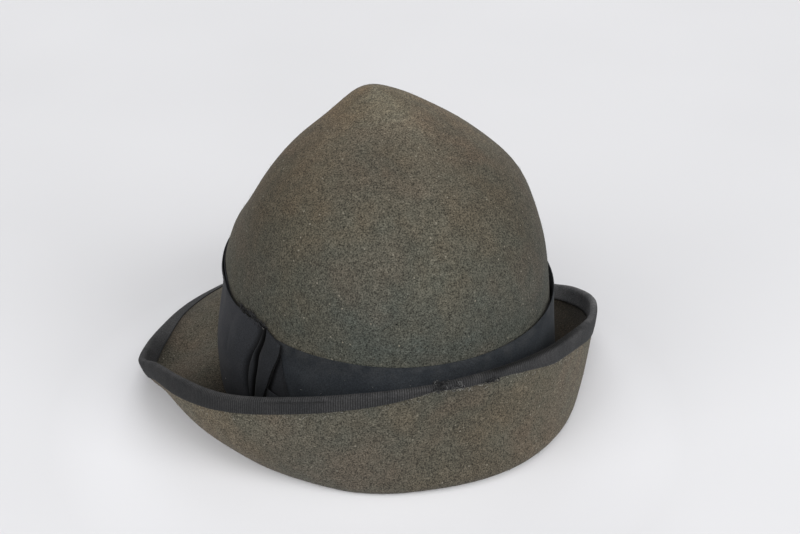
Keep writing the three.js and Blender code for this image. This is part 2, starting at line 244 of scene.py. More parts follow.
# How the felt's colour changes with height, from the floor up to the height set after this table: its own
# tints, and towards the tip a paleness that is partly painted light from above.
HEIGHT_TINT_AND_LIGHT = [
    (0.0, (1.04, 0.985, 0.945)), (0.26, (0.985, 0.96, 0.92)), (0.42, (0.8, 0.885, 0.92)),
    (0.6, (0.95, 0.96, 0.93)), (0.78, (1.12, 1.05, 0.97)), (0.9, (1.4, 1.26, 1.14)),
    (1.0, (1.85, 1.68, 1.45)),
]
HEIGHT_TINT_TOP = 0.17  # metres
# How pale it is: partly the felt's own tone, and partly painted light and shade, such as the painted shade
# inside the brim on the right. Azimuth, the crown, the brim's upper and lower side, and how much darker the
# upper side is painted close by the binding, as painted shade in the gutter there.
FELT_TONE_AND_PAINTED_LIGHT = [
    (0, 1.0, 0.6, 0.93, 0.5), (22, 1.0, 0.6, 0.98, 0.5), (50, 0.93, 0.5, 1.15, 0.5),
    (75, 0.82, 0.45, 1.5, 0.5), (90, 0.9, 0.5, 1.4, 0.5), (97, 0.95, 0.72, 1.2, 0.6),
    (104, 1.0, 0.98, 1.2, 0.6), (114, 1.0, 1.08, 1.1, 0.5), (125, 1.0, 1.1, 1.0, 0.4),
    (145, 1.0, 1.1, 1.0, 0.2), (180, 1.0, 1.1, 1.0, 0), (250, 1.0, 0.55, 1.0, 0.2),
    (270, 1.0, 0.28, 1.1, 0.2), (290, 1.0, 0.22, 1.2, 0.2), (325, 0.8, 0.22, 1.3, 0.3),
    (345, 0.95, 0.6, 1.08, 0.4),
]
# How brown it is: azimuth, and the crown, the brim's upper and its lower side.
WARMTH = [
    (10, 0.0, 0.3, 0.3), (22, 0.0, 0.3, 0.1), (35, 0.05, 0.3, 0.05), (50, 0.35, 0.3, 0.3),
    (63, 0.4, 0.4, 0.5), (83, 0.8, 0.4, 0.5), (110, 1.0, 0.3, 0.4), (180, 0.4, 0.3, 0.3),
    (250, 0.4, 1.0, 0.3), (320, 0.35, 1.0, 0.45), (341, 0.25, 0.6, 0.45), (356, 0.05, 0.3, 0.4),
]
BROWN = (1.15, 1.0, 0.85, 1)
PATCHES = [(0.36, (0.071, 0.065, 0.051)), (0.5, (0.063, 0.0615, 0.051)), (0.64, (0.071, 0.064, 0.052))]
GREEN = (0.059, 0.063, 0.054, 1)
SPECK = (0.19, 0.175, 0.14, 1)
# Stains on it: azimuth and height of the middle, how much paler it is, and spread round and up.
STAINS = [
    (20, 145, -0.2, 18, 9), (-14, 156, 0.14, 12, 7), (70, 115, -0.08, 22, 20), (62, 149, 0.12, 12, 8),
    (-55, 143, 0.12, 14, 12), (-26, 80, 0.14, 22, 11),
]
# How pale the hatband is painted, mostly as painted light and shade: darker by the bow, paler in the brim's
# gutter at the back, and a painted sheen in a narrow strip at azimuths 291 to 297. Azimuth, its top edge,
# and the part in the brim's gutter.
BAND_TONE_AND_PAINTED_LIGHT = [
    (0, 0.74, 1.6), (15, 0.74, 1.6), (27, 0.66, 1.2), (38, 0.58, 0.95), (52, 0.55, 0.85),
    (70, 0.7, 0.8), (110, 1.0, 1.0), (286, 1.0, 1.0), (291, 1.9, 1.9), (297, 1.9, 2.2), (301, 1.0, 1.4),
    (315, 0.85, 1.4), (340, 0.75, 1.65),
]
GUTTER_DEPTH = 11  # how far below the hatband's top edge its part in the gutter is
GUTTER_PAINTED_SHADE = (9, 6)  # rows from the felt's edge to the painted shade by the binding, and over how many it fades
# Rows past the middle of the fold where the binding's lower tone starts, and over how many it comes in.
TONE_TURN = (0.7, 1.6)
# How pale the binding is painted, partly as painted light and shade: much paler round the front, and almost
# black on the upper side at azimuths 327 to 354 as painted shade. Azimuth, and its upper and its lower side.
BINDING_TONE_AND_PAINTED_LIGHT = [
    (22, 1.03, 0.88), (80, 1.08, 0.7), (130, 1.5, 1.0), (190, 2.6, 1.0), (240, 3.5, 1.0),
    (290, 3.3, 1.2), (312, 1.9, 1.1), (320, 0.5, 1.1), (327, 0.12, 1.15), (354, 0.12, 0.95),
    (359, 0.8, 0.88),
]
# The felt's grain: scale and detail of each noise, and its darkest and palest part.
GRAIN = [(1300, 3, 0.05, 1.95), (330, 2, 0.82, 1.18), (120, 2, 0.93, 1.07)]
# The ribbons' colours: clean, dusty and rubbed; the rubbed one also gives the painted highlight along the
# binding's fold.
RIBBONS = {
    "hatband_ribbon": [(0.0185, 0.0215, 0.0255), (0.0265, 0.0295, 0.0335), (0.039, 0.041, 0.0435)],
    "ribbon": [(0.0198, 0.021, 0.0245), (0.028, 0.0285, 0.032), (0.039, 0.04, 0.042)],
    # a darker copy of the ribbon, which stands as painted shade on the knot and the folded end
    "ribbon_shaded_copy": [(0.0135, 0.0145, 0.0165), (0.018, 0.019, 0.022), (0.03, 0.03, 0.032)],
    "binding": [(0.029, 0.0295, 0.031), (0.04, 0.0395, 0.0405), (0.052, 0.051, 0.052)],
}
PAINTED_LIGHT_ON = ("hatband_ribbon", "binding")  # these have a tone painted on, which holds painted light and shade
# The fibres' colours: dark and light.
THREADS = {
    "lint": [(0.16, 0.155, 0.14), (0.42, 0.41, 0.38)],
    # near black; massed along the loop's torn edge it also makes a painted shadow line
    "thread": [(0.004, 0.004, 0.005), (0.012, 0.012, 0.013)],
    "frayed_thread": [(0.02, 0.02, 0.02), (0.09, 0.09, 0.09)],
    "felt_fibre": [(0.06, 0.052, 0.038), (0.3, 0.27, 0.2)],
}
FLOOR = 6.0  # half of the floor's side, in metres
# Painted light on the floor: it is a little paler close round this place, out to these distances, which
# lightens the cap's shadow there.
FLOOR_LIGHT_MIDDLE = (0.02, 0.04, 0)
FLOOR_LIGHT_REACH = (0.08, 0.17)
FLOOR_COLOURS_AND_LIGHT = [(0.0, (0.84, 0.84, 0.86)), (0.7, (0.7, 0.7, 0.72)), (1.0, (0.655, 0.655, 0.672))]


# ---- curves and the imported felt


def unit(vectors):
    return vectors / np.linalg.norm(vectors, axis=-1, keepdims=True)


def between(one, other, share):
    return one * (1 - share) + other * share


def bell(off, width):
    """A soft bump: 1 where `off` is 0, and about a third at `width` to either side."""
    return np.exp(-((off / width) ** 2))


def spline(knots, values, at):
    """The natural cubic spline through `values`, one row for each knot, read at the places `at`."""
    count = len(knots)
    width = np.diff(knots)
    flat = values.reshape(count, -1)
    rise = np.diff(flat, axis=0) / width[:, None]
    system = np.eye(count)
    target = np.zeros_like(flat)
    for i in range(1, count - 1):
        system[i, i - 1 : i + 2] = width[i - 1], 2 * (width[i - 1] + width[i]), width[i]
        target[i] = 6 * (rise[i] - rise[i - 1])
    bend = np.linalg.solve(system, target)
    i = np.clip(np.searchsorted(knots, at, side="right") - 1, 0, count - 2)
    t = (at - knots[i])[:, None]
    h = width[i][:, None]
    slope = rise[i] - h * (2 * bend[i] + bend[i + 1]) / 6
    cubic = (bend[i + 1] - bend[i]) / (6 * h)
    return (flat[i] + t * (slope + t * (bend[i] / 2 + t * cubic))).reshape(len(at), *values.shape[1:])


def curves(table, at):
    """Each further column of a table, as a smooth curve over its first column, read at `at`."""
    table = np.array(table, float)
    values = spline(table[:, 0], table[:, 1:], np.ravel(at))
    return [column.reshape(np.shape(at)) for column in values.T]


def fine_table(table, steps):
    """A table's columns as smooth curves over its rows, with so many steps for each: [step, 0] each."""
    at = np.arange((len(table) - 1) * steps + 1) / steps
    return spline(np.arange(len(table)), np.array(table, float), at).T[..., None]


def bilinear(grid, row, column):
    """Values between those of a grid, at rows and columns that needn't be whole."""
    row, column = [np.clip(at, 0, size - GRID_END) for at, size in zip((row, column), grid.shape)]
    i, j = np.floor(row).astype(int), np.floor(column).astype(int)
    near = between(grid[i, j], grid[i, j + 1], column - j)
    far = between(grid[i + 1, j], grid[i + 1, j + 1], column - j)
    return between(near, far, row - i)


def smooth_surface(table, heights):
    """The smooth surface through a table's values, as a function of azimuth and height."""
    table = np.array(table, float)
    rising = np.array(heights[::-1], float)
    azimuths = np.arange(table[0, 0], table[-1, 0] + TABLE_STEP, TABLE_STEP)
    levels = np.arange(rising[0], rising[-1] + TABLE_STEP, TABLE_STEP)
    grid = spline(rising, spline(table[:, 0], table[:, :0:-1], azimuths).T, levels).T

    def surface(azimuth, z):
        return bilinear(grid, (azimuth - azimuths[0]) / TABLE_STEP, (z - levels[0]) / TABLE_STEP)

    return surface


def round_table(table, azimuths):
    """Each further column of a table, read at `azimuths` round its first one: [column, 0] each."""
    table = np.array(table, float).T
    return [np.interp(azimuths, table[0], part, period=360)[:, None] for part in table[1:]]


def round_spline(values, azimuths):
    """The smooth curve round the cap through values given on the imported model's spokes."""
    step = 360 / CAD_SPOKES
    ring = np.arange(-WRAP, CAD_SPOKES + WRAP)
    return spline(ring * step, values[ring % CAD_SPOKES], np.mod(azimuths, 360))


def lengths(points):
    """How far along a line each of its points is."""
    return np.concatenate([[0], np.cumsum(np.linalg.norm(np.diff(points, axis=0), axis=1))])


def corners_of(piece):
    """A mesh's points, in metres."""
    return np.array([v.co for v in piece.data.vertices])


def azimuth_of(off):
    """The azimuth of points, from their offsets from the axis."""
    return np.degrees(np.arctan2(off[:, 0], off[:, 1]))


def spoke_of(off):
    """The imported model's spoke that each point is on."""
    return np.round(azimuth_of(off) * CAD_SPOKES / 360).astype(int) % CAD_SPOKES


def spoke_lines(node, tip):
    """The felt's upper and lower face on each spoke, from the tip to the edge, as (distance, height)."""
    places, index = np.unique(corners_of(node).round(6), axis=0, return_inverse=True)
    index = index.reshape(-1)
    off = places / MM - tip * (1, 1, 0)
    distance = np.hypot(off[:, 0], off[:, 1])
    on_axis = distance < ON_AXIS
    spoke = spoke_of(off)
    spoke[on_axis] = -1
    beside = {}
    for face in node.data.polygons:
        corners = index[list(face.vertices)]
        for a, b in zip(corners, np.roll(corners, 1)):
            for one, other in ((a, b), (b, a)):
                low, high = sorted((spoke[one], spoke[other]))
                if low in (high, -1):
                    beside.setdefault((high, one), set()).add(other)
    top = int(np.flatnonzero(on_axis)[np.argmax(off[on_axis, 2])])
    lines = []
    for k in range(CAD_SPOKES):
        line = [top]
        while len(line) < 2 or not on_axis[line[-1]]:
            line.append(next(n for n in beside[k, line[-1]] if n not in line))
        lines.append(np.stack([distance[line], off[line, 2]], axis=1))
    lines = np.array(lines)
    half = lines.shape[1] // 2
    return lines[:, :half], lines[:, : half - 1 : -1]


def fine_profiles(line):
    """Each spoke's line with FINE rows for each of its rows, smooth through the tip."""
    profiles = []
    for k in range(CAD_SPOKES):
        across = line[(k + CAD_SPOKES // 2) % CAD_SPOKES][2:0:-1] * (-1, 1)
        points = np.concatenate([across, line[k]])
        length = lengths(points)
        rows = np.arange((len(line[k]) - 1) * FINE + 1) / FINE
        at = np.interp(rows, np.arange(len(line[k])), length[2:])
        profiles.append(spline(length, points, at))
    return np.array(profiles)


def normals(lines):
    """Unit normals of lines (distance, height) that run outwards, on their upper or outer side."""
    along = unit(np.gradient(lines, axis=1))
    return np.stack([-along[..., 1], along[..., 0]], axis=2)


def uneven(points):
    """A slow, slight unevenness, as of hand-blocked felt, from -1 to 1 at points in space."""
    waves = [
        np.sin(points @ np.array(direction) * 2 * math.pi / length + start)
        for direction, length, start in UNEVEN
    ]
    return sum(waves) / len(waves)


def spots(table, azimuths, lines):
    """The sum of a table's soft spots at points (distance, height) of lines on the azimuths."""
    total = 0
    for azimuth, height, size, spread, reach in table:
        off = np.mod(azimuths - azimuth + 180, 360) - 180
        along = np.radians(off)[:, None] * lines[..., 0]
        total = total + size * np.exp(-((along / spread) ** 2) - ((lines[..., 1] - height) / reach) ** 2)
    return total


class Cap:
    """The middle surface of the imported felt, which every piece is laid on."""

    def __init__(self, node):
        points = corners_of(node) / MM
        self.tip = points[np.argmax(points[:, 2])]
        upper, lower = spoke_lines(node, self.tip)
        profiles = fine_profiles((upper + lower) / 2)
        spokes = np.arange(CAD_SPOKES) * 360 / CAD_SPOKES
        out = self.normals(profiles)
        past_crown = np.arange(profiles.shape[1]) - CAD_CROWN_ROWS * FINE
        first, last = BRIM_FADE
        on_brim = np.clip((past_crown - first) / (last - first), 0, 1)
        height = UNEVEN_HEIGHT * uneven(self.place(spokes, profiles))
        height += spots(SWELLINGS, spokes, profiles) * (past_crown < 0)
        height += spots(BRIM_DENTS, spokes, profiles) * on_brim
        self.profiles = profiles + out * height[..., None]
        self.wall = self.crown_wall()

    def normals(self, lines):
        """The normals of lines that start at the tip."""
        out = normals(lines)
        out[:, 0] = (0, 1)
        return out

    def lines(self, azimuths):
        """The felt's middle line on each azimuth, as (distance, height), from the tip to the edge."""
        return round_spline(self.profiles, azimuths)

    def around(self, azimuths, distance, heights):
        """Points in space from azimuths, distances from the axis and heights."""
        angle = np.radians(azimuths)
        across, along = distance * np.sin(angle), distance * np.cos(angle)
        return np.stack([self.tip[0] + across, self.tip[1] + along, heights], axis=-1)

    def place(self, azimuths, flat):
        """Points in space from azimuths [column] and points (distance, height) [column, row]."""
        points = self.around(azimuths[:, None], flat[..., 0], np.maximum(flat[..., 1], 0))
        lean = np.clip((points[..., 2:] - LEAN_FROM) / (self.tip[2] - LEAN_FROM), 0, 1) ** 3
        return points + lean * TIP_LEAN

    def crown_wall(self):
        """The crown's distance from the axis at each degree and each millimetre of height."""
        heights = np.arange(0, self.tip[2] - WALL_TOP)
        crown = self.lines(np.arange(361))[:, CAD_CROWN_ROWS * FINE :: -1]
        return np.array([np.interp(heights, line[:, 1], line[:, 0]) for line in crown])

    def wall_at(self, azimuths, heights):
        return bilinear(self.wall, np.mod(azimuths, 360), heights)

    def on_crown(self, azimuths, heights, lift):
        """Points `lift` off the middle of the crown's felt, square to its slope."""
        over, under = [self.wall_at(azimuths, heights + rise) for rise in (SLOPE_REACH, -SLOPE_REACH)]
        lean = (over - under) / (2 * SLOPE_REACH)
        out = lift / np.hypot(1, lean)
        return self.around(azimuths, self.wall_at(azimuths, heights) + out, heights - out * lean)

    def above(self, azimuths, heights, lift):
        """These points, and the ones a millimetre above them."""
        return [self.on_crown(azimuths, heights, lift + extra) for extra in (0, 1)]

    def even_columns(self, line, pitch):
        """Azimuths of columns that lie evenly along a line round the cap, RIB_STEPS for each rib."""
        coarse = np.arange(0, 360 + TABLE_STEP, TABLE_STEP)
        length = lengths(line(coarse))
        count = round(length[-1] / pitch) * RIB_STEPS
        return np.interp(np.arange(count) * length[-1] / count, length, coarse)


def ribs(count, height, shade, random):
    """A ribbon's ribs in each of its columns: their height, a little uneven, and how dark the painted shade
    in each is.
    """
    wave = np.cos(np.arange(count) * 2 * math.pi / RIB_STEPS) / 2
    size = np.repeat(random.uniform(*RIB_SIZES, count // RIB_STEPS), RIB_STEPS)
    return (height * size * wave)[:, None], shade * (0.5 - wave)


# ---- meshes


def add(name, data):
    """A new object in the scene, with this mesh, light or camera."""
    made = bpy.data.objects.new(name, data)
    bpy.context.scene.collection.objects.link(made)
    return made


def mesh_object(name, points, faces, material):
    mesh = bpy.data.meshes.new(name)
    mesh.from_pydata(points, [], faces)
    mesh.materials.append(material)
    return add(name, mesh)


def mesh_piece(name, points, faces, material):
    """A smooth object from points in millimetres, which rides on the cap's one body."""
    piece = mesh_object(name, points.reshape(-1, 3) * MM, faces, material)
    piece.data.polygons.foreach_set("use_smooth", np.ones(len(faces), bool))
    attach(piece, "root")
    return piece


def quads(columns, rows, round_columns, round_rows):
    """The faces of a grid of points [column, row], joined up where it goes round."""
    i = np.arange(columns if round_columns else columns - 1)[:, None]
    j = np.arange(rows if round_rows else rows - 1)[None, :]
    right, down = (i + 1) % columns, (j + 1) % rows
    corners = [column * rows + row for column, row in ((i, j), (right, j), (right, down), (i, down))]
    return np.stack(corners, axis=-1).reshape(-1, 4)


def section(outer, inner, thickness):
    """A ribbon's closed section in each column, from its two faces, with rounded edges."""

    def edge(last, before):
        middle = (outer[:, last] + inner[:, last]) / 2
        return (middle + unit(outer[:, last] - outer[:, before]) * thickness / 2)[:, None]

    return np.concatenate([outer, edge(-1, -2), inner[:, ::-1], edge(0, 1)], axis=1)


def paint(piece, name, values):
    """A number for each point of a piece, which its material reads by name."""
    layer = piece.data.attributes.new(name, "FLOAT", "POINT")
    layer.data.foreach_set("value", np.ascontiguousarray(values, np.float32).ravel())


def ring(name, sections, groove_shade, wear_and_highlight, tone_and_painted_light, material, slot):
    """A band round the cap from its section in each column, with its painted values."""
    columns, rows = sections.shape[:2]
    piece = mesh_piece(name, sections, quads(columns, rows, True, True).tolist(), material)
    paint(piece, "painted_shade", np.repeat(groove_shade, rows))
    paint(piece, "wear_and_highlight", np.tile(wear_and_highlight, columns))
    paint(piece, "tone_and_painted_light", tone_and_painted_light + np.zeros((columns, rows)))
    return piece


def bow_piece(cap, name, outer, inner, material, dark=0):
    """A closed sheet of ribbon between two grids of points, with painted shade in the knot's creases."""
    sections = section(outer, inner, RIBBON)
    columns, rows = sections.shape[:2]
    near = np.arange(rows)
    far = near[::-1] + (columns - 1) * rows
    faces = quads(columns, rows, False, True).tolist() + [near.tolist(), far.tolist()]
    piece = mesh_piece(name, sections, faces, material)
    paint(piece, "painted_shade", np.maximum(crease_shade(cap, piece), dark))
    return piece


def tubes(name, paths, radii, material):
    """Thin closed tubes in one mesh. Their points are [tube, step]."""
    along = np.gradient(paths, axis=1)
    side = unit(np.cross(along, along[:, :1, [1, 2, 0]] + (0, 0, 0.1)))
    over = unit(np.cross(side, along))
    turns = np.arange(TUBE_SIDES) * 2 * math.pi / TUBE_SIDES
    rings = [side * math.cos(turn) + over * math.sin(turn) for turn in turns]
    points = paths[:, :, None] + np.stack(rings, axis=2) * radii[:, :, None, None]
    count, steps, sides = points.shape[:3]
    ends = [list(range(sides)), [steps * sides - 1 - i for i in range(sides)]]
    one = quads(steps, sides, False, True).tolist() + ends
    base = np.arange(count) * steps * sides
    faces = [[corner + first for corner in face] for first in base.tolist() for face in one]
    return mesh_piece(name, points, faces, material)


def joined(pairs):
    """Points, and the direction from each to the point above it, from pairs of lists of points."""
    points, above = [np.concatenate(part) for part in zip(*pairs)]
    return points, above - points


def hairs(name, start, up, length, radius, curl, material, slot, random):
    """Short fibres in all directions on a surface, from points on it and its normals, above the floor."""
    count = len(start)
    up = unit(up)
    heading = unit(np.cross(random.normal(size=(count, 3)), up))
    bend = np.cross(up, heading) * random.normal(0, curl, (count, 1))
    reach = random.uniform(*length, (count, 1, 1))
    t = np.linspace(0, 1, TUBE_STEPS)[None, :, None]
    rise = random.uniform(*HAIR_RISE, (count, 1, 1)) * (1 + curl) * reach * t * (HAIR_ARCH - t)
    paths = start[:, None] + reach * (t * heading[:, None] + t**2 * bend[:, None]) + rise * up[:, None]
    paths[..., 2] = np.maximum(paths[..., 2], radius)
    radii = radius * (1 - HAIR_TAPER * t[..., 0]) * random.uniform(*HAIR_SIZES, (count, 1))
    return tubes(name, paths, radii, material)


def curls(name, start, up, material, random):
    """Threads that curl up off a surface, from points on it and its normals."""
    count = len(start)
    heading = unit(np.cross(random.normal(size=(count, 3)), up))
    side = np.cross(up, heading)
    lean = random.uniform(*CURL_LEAN, (count, 1))
    over = up * lean + side * np.sqrt(1 - lean**2)
    t = np.linspace(0, 1, CURL_STEPS)[None, :, None]
    size = random.uniform(*CURL_SIZE, (count, 1, 1))
    turn = 2 * math.pi * random.uniform(*CURL_TURNS, (count, 1, 1)) * t
    circle = np.sin(turn) * heading[:, None] + (1 - np.cos(turn)) * over[:, None]
    drift = random.normal(0, CURL_DRIFT, (count, 1, 1)) * t * side[:, None]
    paths = start[:, None] + size * (circle + drift)
    return tubes(name, paths, np.full((count, CURL_STEPS), THREAD_RADIUS), material)


# ---- the felt


def felt_columns(cap):
    """The felt's columns: their azimuths, and the middle line and its normals on each."""
    azimuths = np.arange(FELT_COLUMNS) * 360 / FELT_COLUMNS
    lines = cap.lines(azimuths)
    return azimuths, lines, cap.normals(lines)


def felt_body(cap, material):
    azimuths, lines, out = felt_columns(cap)
    edge = lines[:, -1:] + unit(lines[:, -1:] - lines[:, -2:-1]) * EDGE_BULGE
    upper, lower = lines + out * FELT / 2, lines - out * FELT / 2
    sections = np.concatenate([upper, edge, lower[:, ::-1]], axis=1)
    columns, rows = sections.shape[:2]
    faces = quads(columns, rows, True, False)
    # The first and the last row are the tip's upper and lower point, one for all columns.
    row = faces % rows
    faces = np.where(row == 0, 0, np.where(row == rows - 1, rows - 1, faces))
    faces = [list(dict.fromkeys(face)) for face in faces.tolist()]
    piece = mesh_piece("felt_body_fine", cap.place(azimuths, sections), faces, material)
    tone_and_painted_light, warmth = felt_tones(azimuths, lines)
    paint(piece, "tone_and_painted_light", tone_and_painted_light)
    paint(piece, "warm", warmth)
    piece.data.validate()
    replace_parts(piece, "felt_body")


def felt_tones(azimuths, lines):
    """How pale and how brown the felt is at each point [column, row] of its section; its paleness holds
    painted light and shade as well as its own tone.
    """
    count = lines.shape[1]
    row = np.arange(2 * count + 1)[None]
    on_brim = np.clip((row - CAD_CROWN_ROWS * FINE) / FINE, 0, 1)

    def blend(crown, above, below):
        return np.where(row > count, below, crown + (above - crown) * on_brim)

    *tones, dark = round_table(FELT_TONE_AND_PAINTED_LIGHT, azimuths)
    edge, fade = GUTTER_PAINTED_SHADE
    # painted shade along the brim's upper side close by the binding, in the gutter
    gutter_shade = 1 - dark * bell(np.clip(count - edge - row, 0, None), fade) * (row < count)
    stains = spots(STAINS, azimuths, lines)
    stains = np.concatenate([stains, stains[:, -1:], stains[:, ::-1]], axis=1)
    return blend(*tones) * gutter_shade * (1 + stains), blend(*round_table(WARMTH, azimuths))


def felt_faces(cap, side, rows):
    """Points and normals on one face of the felt (side 1 is the upper one), and the area round each."""
    azimuths, lines, out = felt_columns(cap)
    over = side * out
    points = cap.place(azimuths, lines + over * FELT / 2)
    normal = cap.place(azimuths, lines + over * (FELT / 2 + 1)) - points
    width = lines[..., 0]
    height = np.linalg.norm(np.gradient(lines, axis=1), axis=2)
    return [grid[:, rows].reshape(-1, *grid.shape[2:]) for grid in (points, normal, width * height)]


def felt_fibres(cap, material, random):
    """Short stray fibres all over the felt that shows."""
    past_crown, by_binding = FIBRE_ROWS
    uncovered = slice(1, -BINDING_ROWS - by_binding)
    outside = slice(CAD_CROWN_ROWS * FINE + past_crown, -BINDING_ROWS - by_binding)
    faces = [felt_faces(cap, 1, uncovered), felt_faces(cap, -1, outside)]
    points, normal, area = [np.concatenate(parts) for parts in zip(*faces)]
    chosen = random.choice(len(points), FIBRES, p=area / area.sum())
    start = points[chosen] + random.normal(0, FIBRE_SCATTER, (FIBRES, 3))
    up = normal[chosen]
    start -= up * np.sum((start - points[chosen]) * up, axis=1, keepdims=True)
    hairs("felt_fibres", start, up, FIBRE_LENGTH, FIBRE_RADIUS, FIBRE_CURL, material, "felt", random)


def lint(cap, material, random):
    """Pale fluff caught on the ribbons and under the edge of the binding."""
    pairs = []
    for first, last, reach, count in LINT_BELOW:
        azimuths = random.uniform(first, last, count)
        width = round_table(BINDING_SHAPE, azimuths)[1] + random.uniform(0, reach, (count, 1))
        lines, out = [grid[:, :1] for grid in rim(cap, azimuths, width)]
        pairs.append([cap.place(azimuths, lines - out * lift)[:, 0] for lift in (FELT / 2, FELT / 2 + 1)])
    for (first, last), heights, lift, count in LINT_ON_RIBBON:
        around, z = random.uniform(first, last, count), random.uniform(*heights, count)
        pairs.append(cap.above(around, z, lift))
    hairs("lint", *joined(pairs), LINT_LENGTH, LINT_RADIUS, LOOSE_CURL, material, "felt", random)


# ---- the ribbons


def rim(cap, azimuths, widths):
    """The brim's outer part, as wide as given on each azimuth, and its normals."""
    share = 1 - np.linspace(0, 1, BINDING_ROWS + 1)
    lines = []
    for line, width in zip(cap.lines(azimuths), widths):
        inwards = line[::-1]
        lines.append([np.interp(width * share, lengths(inwards), part) for part in inwards.T])
    lines = np.array(lines).transpose(0, 2, 1)
    return lines, normals(lines)


def round_rim(cap, azimuths, lift):
    """Points round the brim's edge from its upper to its lower face, from their lift [column, row]."""
    width_above, width_below, inset = round_table(BINDING_SHAPE, azimuths)
    above, up = rim(cap, azimuths, width_above)
    below, down = rim(cap, azimuths, width_below)
    out = down[:, -1]
    over = np.stack([out[:, 1], -out[:, 0]], axis=1)
    centre = below[:, -1] - over * inset
    lift = lift[..., None] + np.zeros((1, RIM_ROWS + 1, 1))
    turns = np.linspace(0, math.pi, FOLD_ROWS + 1)
    fold = [
        centre + lift[:, BINDING_ROWS + i] * (out * math.cos(turn) + over * math.sin(turn))
        for i, turn in enumerate(turns)
    ]
    upper = above[:, :-1] + lift[:, :BINDING_ROWS] * up[:, :-1]
    lower = below[:, -2::-1] - lift[:, -BINDING_ROWS:] * down[:, -2::-1]
    return cap.place(azimuths, np.concatenate([upper, np.stack(fold, axis=1), lower], axis=1))


def brim_binding(cap, material, random):
    """The ribbed ribbon that is folded over the brim's edge, worn and painted paler as a highlight along its
    fold, with painted light and shade round the cap.
    """
    pitch, height = BINDING_RIB
    azimuths = cap.even_columns(lambda a: cap.place(a, cap.lines(a)[:, -1:])[:, 0], pitch)
    rib, groove_shade = ribs(len(azimuths), height, RIB_SHADE[0], random)
    past_fold = np.arange(RIM_ROWS + 1)[None] - FOLD_MIDDLE
    beyond = np.clip(np.abs(past_fold) - FOLD_ROWS / 2, 0, None) / BINDING_ROWS
    outer = round_rim(cap, azimuths, ON_FELT + BINDING * (1 - BINDING_THIN * beyond**2) + rib)
    inner = round_rim(cap, azimuths, ON_FELT - CLEAR * BINDING_THIN * beyond**2 + 0 * rib)[:, ::2]
    sections = section(outer, inner, BINDING * (1 - BINDING_THIN))
    past_fold = np.arange(sections.shape[1]) - FOLD_MIDDLE
    wear_and_highlight = bell(past_fold, WEAR_AND_HIGHLIGHT_ROWS)
    # tone painted on the binding, partly painted light and shade: much paler round the front, almost black
    # on the upper side at the back right
    above, below = round_table(BINDING_TONE_AND_PAINTED_LIGHT, azimuths)
    first, over = TONE_TURN
    tone_and_painted_light = above + (below - above) * np.clip((past_fold - first) / over, 0, 1)
    piece = ring("brim_binding_ribbed", sections, groove_shade, wear_and_highlight, tone_and_painted_light, material, "binding")
    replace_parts(piece, "brim_binding")


def frayed_binding(cap, name, frays, material, random):
    """Broken threads that curl off the binding."""
    pairs = []
    for azimuth, down, spread, drop, count in frays:
        azimuths = random.normal(azimuth, spread, count)
        lift = ON_FELT + BINDING + 0 * azimuths[:, None]
        rows = FOLD_MIDDLE + random.normal(down, drop, count)
        rows = np.clip(np.round(rows), 0, RIM_ROWS).astype(int)
        around = round_rim(cap, azimuths, lift), round_rim(cap, azimuths, lift + 1)
        pairs.append([grid[np.arange(count), rows] for grid in around])
    curls(name, *joined(pairs), material, random)


def spoke_heights(node, tip):
    """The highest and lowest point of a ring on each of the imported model's spokes."""
    off = corners_of(node) / MM - tip * (1, 1, 0)
    spoke = spoke_of(off)
    heights = [off[spoke == k, 2] for k in range(CAD_SPOKES)]
    return np.array([(h.max(), h.min()) for h in heights])


def hatband(cap, node, material, random):
    pitch, height = BAND_RIB
    heights = spoke_heights(node, cap.tip)
    azimuths = cap.even_columns(lambda a: cap.on_crown(a, 0 * a + heights.mean(), ON_FELT), pitch)
    top, low = round_spline(heights, azimuths).T
    share = np.linspace(0, 1, BAND_ROWS + 1)[None]
    across = azimuths[:, None] + 0 * share
    z = between(top[:, None], low[:, None], share)
    flare = BAND_FLARE * bell(azimuths - FLARE_AZIMUTH, FLARE_SPREAD)
    lift = ON_FELT + flare[:, None] * (1 - share) ** 2
    rib, groove_shade = ribs(len(azimuths), height, RIB_SHADE[1], random)
    outer, inner = [cap.on_crown(across, z, off) for off in (lift + RIBBON + rib, lift)]
    sections = section(outer, inner[:, ::2], RIBBON)
    row = np.arange(sections.shape[1])
    wear_and_highlight = bell(row, BAND_WORN_ROWS) + bell(row - BAND_ROWS, BAND_WORN_ROWS)
    # Tone painted on the hatband, mostly painted light and shade: paler in the gutter, and a painted sheen
    # strip on the right.
    tone_and_painted_light = np.ones(sections.shape[:2])
    at_top, in_gutter = round_table(BAND_TONE_AND_PAINTED_LIGHT, azimuths)
    below = np.clip((z[:, :1] - z) / GUTTER_DEPTH, 0, 1)
    tone_and_painted_light[:, : BAND_ROWS + 1] = at_top + (in_gutter - at_top) * below
    piece = ring("hatband_ribbed", sections, groove_shade, wear_and_highlight, tone_and_painted_light, material, "ribbon")
    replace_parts(piece, "hatband")


def near_line(points, line):
    """The distance of each point from a line of points."""
    nearest = np.full(points.shape[:-1], np.inf)
    for start, end in zip(line[:-1], line[1:]):
        run = end - start
        along = np.clip((points - start) @ run / (run @ run), 0, 1)
        nearest = np.minimum(nearest, np.linalg.norm(points - start - along[..., None] * run, axis=-1))
    return nearest


def loop_folds(azimuths, heights, radius):
    """The rise of the soft folds in the loop, at azimuths and heights."""
    scale = np.array([math.radians(radius), 1])
    points = np.stack([azimuths, heights], axis=-1) * scale
    return sum(
        rise * bell(near_line(points, np.array(line) * scale), width)
        for line, rise, width in LOOP_FOLDS
    )


def crease_shade(cap, piece):
    """How deep in the shade of a crease each point of a piece lies."""
    points = corners_of(piece) / MM - cap.tip
    height = np.clip(points[:, 2] + cap.tip[2], CREASES[0][0], CREASES[-1][0])
    shade = np.zeros(len(points))
    for crease, (below, above) in zip(curves(CREASES, height), CREASE_SHADE):
        off = azimuth_of(points) - crease
        shade = np.maximum(shade, bell(off, np.where(off < 0, below, above)))
    return shade


